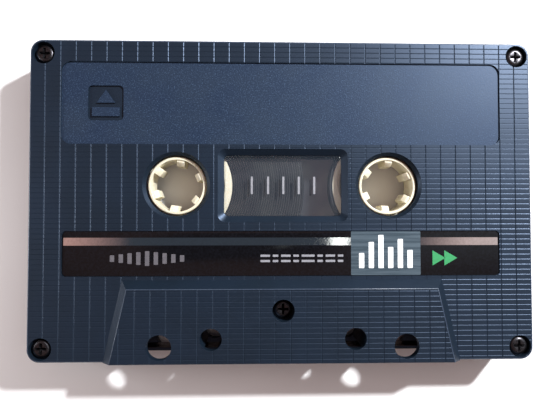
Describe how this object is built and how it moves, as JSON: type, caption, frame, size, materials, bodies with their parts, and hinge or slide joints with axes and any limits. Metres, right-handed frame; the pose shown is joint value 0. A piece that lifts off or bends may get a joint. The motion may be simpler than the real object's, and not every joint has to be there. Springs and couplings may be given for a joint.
{
  "type": "compact audio cassette",
  "caption": "Flat two-reel audio tape cassette with screwed shell halves, window, drive hubs, guide rollers, pressure pad and head openings.",
  "frame": {"origin": "middle of the base rectangle, on the surface that the cassette lies on (rear face, side B, down)", "axes": "+X along the long side, from the full reel to the empty one; +Y away from the head openings; +Z out of the front face (side A)"},
  "size_m": [0.1004, 0.0638, 0.012],
  "materials": {
    "shell": "satin",
    "window": "clear",
    "printed_strip": "gloss",
    "liner": "satin",
    "hub": "satin",
    "tape": "gloss",
    "roller": "satin",
    "steel": "satin",
    "bronze": "satin",
    "felt": "matte",
    "screw": "satin"
  },
  "bodies": {
    "shell": {"front_shell": "shell", "rear_shell": "shell", "front_window": "window", "rear_window": "window", "front_label": "printed_strip", "rear_label": "printed_strip", "front_liner": "liner", "rear_liner": "liner", "tape_span": "tape", "left_roller_pin": "steel", "right_roller_pin": "steel", "pressure_spring": "bronze", "magnetic_shield": "steel", "screw_back_left": "screw", "screw_back_right": "screw", "screw_front_left": "screw", "screw_front_right": "screw", "screw_centre": "screw"},
    "left_reel": {"left_hub": "hub", "left_leader_clip": "hub", "left_tape_pack": "tape"},
    "right_reel": {"right_hub": "hub", "right_leader_clip": "hub", "right_tape_pack": "tape"},
    "left_roller": {"left_guide_roller": "roller"},
    "right_roller": {"right_guide_roller": "roller"},
    "pad": {"pressure_pad": "felt"}
  },
  "joints": [
    {"name": "left_reel_spin", "type": "hinge", "parent": "shell", "child": "left_reel", "pos_m": [-0.02125, 0.0029, 0.006], "axis": [0, 0, 1], "continuous": true},
    {"name": "right_reel_spin", "type": "hinge", "parent": "shell", "child": "right_reel", "pos_m": [0.02125, 0.0029, 0.006], "axis": [0, 0, 1], "continuous": true},
    {"name": "left_roller_spin", "type": "hinge", "parent": "shell", "child": "left_roller", "pos_m": [-0.041, -0.02552, 0.006], "axis": [0, 0, 1], "continuous": true},
    {"name": "right_roller_spin", "type": "hinge", "parent": "shell", "child": "right_roller", "pos_m": [0.041, -0.02552, 0.006], "axis": [0, 0, 1], "continuous": true},
    {"name": "pad_press", "type": "slide", "parent": "shell", "child": "pad", "axis": [0, 1, 0], "range_m": [0, 0.001], "stiffness_N_per_m": 150, "deforming": ["pressure_spring"]}
  ],
  "couplings": [
    {"joint": "right_reel_spin", "follows": "left_reel_spin", "ratio": 2.2069},
    {"joint": "left_roller_spin", "follows": "left_reel_spin", "ratio": 6.4},
    {"joint": "right_roller_spin", "follows": "left_reel_spin", "ratio": 6.4}
  ]
}
